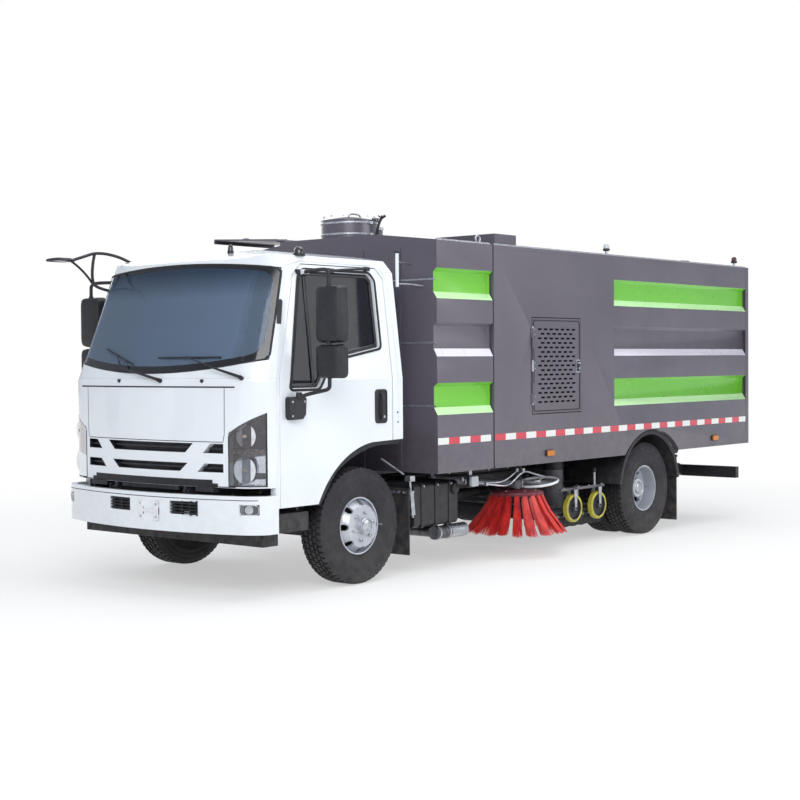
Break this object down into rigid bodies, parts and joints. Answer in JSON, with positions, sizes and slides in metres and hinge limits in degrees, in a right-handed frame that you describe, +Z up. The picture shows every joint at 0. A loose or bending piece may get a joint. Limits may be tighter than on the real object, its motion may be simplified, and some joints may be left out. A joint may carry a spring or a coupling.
{
  "type": "street sweeper truck",
  "caption": "Cab-over street sweeper truck: tilting cab, banded grey and green hopper body that tips, suction nozzle, side brushes, twin rear wheels.",
  "frame": {"origin": "on the ground, under the middle of the vehicle's bounding box", "axes": "+X towards the vehicle's rear, +Y towards its right side, +Z up"},
  "size_m": [6.85, 2.714, 2.718],
  "materials": {
    "chassis_black": "satin",
    "engine_grey": "rough",
    "tank_black": "satin",
    "exhaust_steel": "brushed",
    "cab_white": "gloss",
    "cab_plastic": "matte",
    "seat_cloth": "matte",
    "glass": "gloss",
    "lamp": "gloss",
    "body_grey": "satin",
    "tyre": "matte",
    "rim_silver": "gloss",
    "cylinder_black": "satin",
    "rod_chrome": "polished",
    "nozzle_steel": "satin",
    "caster_yellow": "matte",
    "brush_red": "matte"
  },
  "bodies": {
    "chassis": {"frame_rails": "chassis_black", "frame_cross_members": "chassis_black", "front_axle": "chassis_black", "rear_axle": "chassis_black", "leaf_springs": "chassis_black", "engines": "engine_grey", "side_tanks": "tank_black", "exhaust": "exhaust_steel", "steps_and_flaps": "chassis_black", "rear_guard": "chassis_black", "front_bumper": "cab_white", "chassis_lamps": "lamp", "front_module": "body_grey", "air_outlet": "exhaust_steel", "sweeper_brackets": "chassis_black"},
    "roof_lid_body": {"roof_lid": "body_grey"},
    "knuckle_left_body": {"knuckle_left": "chassis_black"},
    "knuckle_right_body": {"knuckle_right": "chassis_black"},
    "wheel_front_left": {"tyre_front_left": "tyre", "rim_front_left": "rim_silver"},
    "wheel_front_right": {"tyre_front_right": "tyre", "rim_front_right": "rim_silver"},
    "wheels_rear_left": {"tyres_rear_left": "tyre", "rims_rear_left": "rim_silver"},
    "wheels_rear_right": {"tyres_rear_right": "tyre", "rims_rear_right": "rim_silver"},
    "cab": {"cab_floor": "cab_plastic", "cab_front": "cab_white", "grille": "cab_plastic", "headlamps": "lamp", "cab_roof": "cab_white", "cab_rear": "cab_white", "cab_pillars": "cab_white", "cab_glass": "glass", "seat_pads": "seat_cloth", "dashboard": "cab_plastic", "kerb_mirrors": "cab_plastic"},
    "door_left_body": {"door_left": "cab_white", "door_glass_left": "glass", "mirrors_left": "cab_plastic"},
    "door_right_body": {"door_right": "cab_white", "door_glass_right": "glass", "mirrors_right": "cab_plastic"},
    "hopper": {"hopper_shell": "body_grey", "hopper_sides": "body_grey", "roof_hatch": "body_grey"},
    "tailgate_body": {"tailgate": "body_grey"},
    "vent_door_body": {"vent_door": "body_grey"},
    "lift_barrels_body": {"lift_barrels": "cylinder_black"},
    "lift_rods_body": {"lift_rods": "rod_chrome"},
    "nozzle": {"suction_nozzle": "nozzle_steel"},
    "nozzle_wheels_front_body": {"nozzle_wheels_front": "caster_yellow"},
    "nozzle_wheels_rear_body": {"nozzle_wheels_rear": "caster_yellow"},
    "brush_arm_left_body": {"brush_arm_left": "nozzle_steel"},
    "brush_arm_right_body": {"brush_arm_right": "nozzle_steel"},
    "brush_head_left_body": {"brush_head_left": "nozzle_steel"},
    "brush_head_right_body": {"brush_head_right": "nozzle_steel"},
    "brush_left_body": {"brush_left": "brush_red"},
    "brush_right_body": {"brush_right": "brush_red"}
  },
  "joints": [
    {"name": "cab_tilt", "type": "hinge", "parent": "chassis", "child": "cab", "pos_m": [-3.305, 0, 0.702], "axis": [0, -1, 0], "range_deg": [0, 45]},
    {"name": "door_left_swing", "type": "hinge", "parent": "cab", "child": "door_left_body", "pos_m": [-3.044, -0.996, 1.2], "axis": [0, 0, -1], "range_deg": [0, 70]},
    {"name": "door_right_swing", "type": "hinge", "parent": "cab", "child": "door_right_body", "pos_m": [-3.044, 0.996, 1.2], "axis": [0, 0, 1], "range_deg": [0, 70]},
    {"name": "steer_left", "type": "hinge", "parent": "chassis", "child": "knuckle_left_body", "pos_m": [-2.235, -0.78, 0.415], "axis": [0, 0, 1], "range_deg": [-30, 30]},
    {"name": "steer_right", "type": "hinge", "parent": "chassis", "child": "knuckle_right_body", "pos_m": [-2.235, 0.78, 0.415], "axis": [0, 0, 1], "range_deg": [-30, 30]},
    {"name": "wheel_front_left_spin", "type": "hinge", "parent": "knuckle_left_body", "child": "wheel_front_left", "pos_m": [-2.235, -0.885, 0.415], "axis": [0, 1, 0], "continuous": true},
    {"name": "wheel_front_right_spin", "type": "hinge", "parent": "knuckle_right_body", "child": "wheel_front_right", "pos_m": [-2.235, 0.885, 0.415], "axis": [0, 1, 0], "continuous": true},
    {"name": "wheels_rear_left_spin", "type": "hinge", "parent": "chassis", "child": "wheels_rear_left", "pos_m": [1.58, -0.925, 0.415], "axis": [0, 1, 0], "continuous": true},
    {"name": "wheels_rear_right_spin", "type": "hinge", "parent": "chassis", "child": "wheels_rear_right", "pos_m": [1.58, 0.925, 0.415], "axis": [0, 1, 0], "continuous": true},
    {"name": "roof_lid_swing", "type": "hinge", "parent": "chassis", "child": "roof_lid_body", "pos_m": [-1.505, 0.505, 2.5493], "axis": [1, 0, 0], "range_deg": [-9, 70]},
    {"name": "hopper_tip", "type": "hinge", "parent": "chassis", "child": "hopper", "pos_m": [3.215, 0, 0.66], "axis": [0, 1, 0], "range_deg": [0, 45]},
    {"name": "tailgate_swing", "type": "hinge", "parent": "hopper", "child": "tailgate_body", "pos_m": [3.367, 0, 2.56], "axis": [0, -1, 0], "range_deg": [0, 80]},
    {"name": "vent_door_swing", "type": "hinge", "parent": "hopper", "child": "vent_door_body", "pos_m": [-0.295, -1.1155, 1.53], "axis": [0, 0, -1], "range_deg": [0, 100]},
    {"name": "lift_barrels_swing", "type": "hinge", "parent": "chassis", "child": "lift_barrels_body", "pos_m": [0.065, 0, 0.655], "axis": [0, -1, 0], "range_deg": [0, 22.22]},
    {"name": "lift_rods_slide", "type": "slide", "parent": "lift_barrels_body", "child": "lift_rods_body", "axis": [0.9944, 0, 0.1055], "range_m": [0, 0.8489]},
    {"name": "nozzle_lift", "type": "slide", "parent": "chassis", "child": "nozzle", "axis": [0, 0, 1], "range_m": [-0.19, 0]},
    {"name": "nozzle_wheels_front_spin", "type": "hinge", "parent": "nozzle", "child": "nozzle_wheels_front_body", "pos_m": [0.515, 0, 0.315], "axis": [0, 1, 0], "continuous": true},
    {"name": "nozzle_wheels_rear_spin", "type": "hinge", "parent": "nozzle", "child": "nozzle_wheels_rear_body", "pos_m": [0.895, 0, 0.315], "axis": [0, 1, 0], "continuous": true},
    {"name": "brush_arm_left_swing", "type": "hinge", "parent": "chassis", "child": "brush_arm_left_body", "pos_m": [-0.915, -0.56, 0.64], "axis": [0, 0, -1], "range_deg": [0, 20]},
    {"name": "brush_left_lift", "type": "slide", "parent": "brush_arm_left_body", "child": "brush_head_left_body", "axis": [0, 0, 1], "range_m": [-0.165, 0]},
    {"name": "brush_left_spin", "type": "hinge", "parent": "brush_head_left_body", "child": "brush_left_body", "pos_m": [-0.225, -0.9, 0.5], "axis": [0, 0, 1], "continuous": true},
    {"name": "brush_arm_right_swing", "type": "hinge", "parent": "chassis", "child": "brush_arm_right_body", "pos_m": [-0.915, 0.56, 0.64], "axis": [0, 0, 1], "range_deg": [0, 20]},
    {"name": "brush_right_lift", "type": "slide", "parent": "brush_arm_right_body", "child": "brush_head_right_body", "axis": [0, 0, 1], "range_m": [-0.165, 0]},
    {"name": "brush_right_spin", "type": "hinge", "parent": "brush_head_right_body", "child": "brush_right_body", "pos_m": [-0.225, 0.9, 0.5], "axis": [0, 0, 1], "continuous": true}
  ],
  "couplings": [
    {"joint": "steer_right", "follows": "steer_left", "ratio": 1},
    {"joint": "lift_barrels_swing", "follows": "hopper_tip", "ratio": 0.4926},
    {"joint": "lift_rods_slide", "follows": "hopper_tip", "m_per_rad": 1.0802}
  ]
}
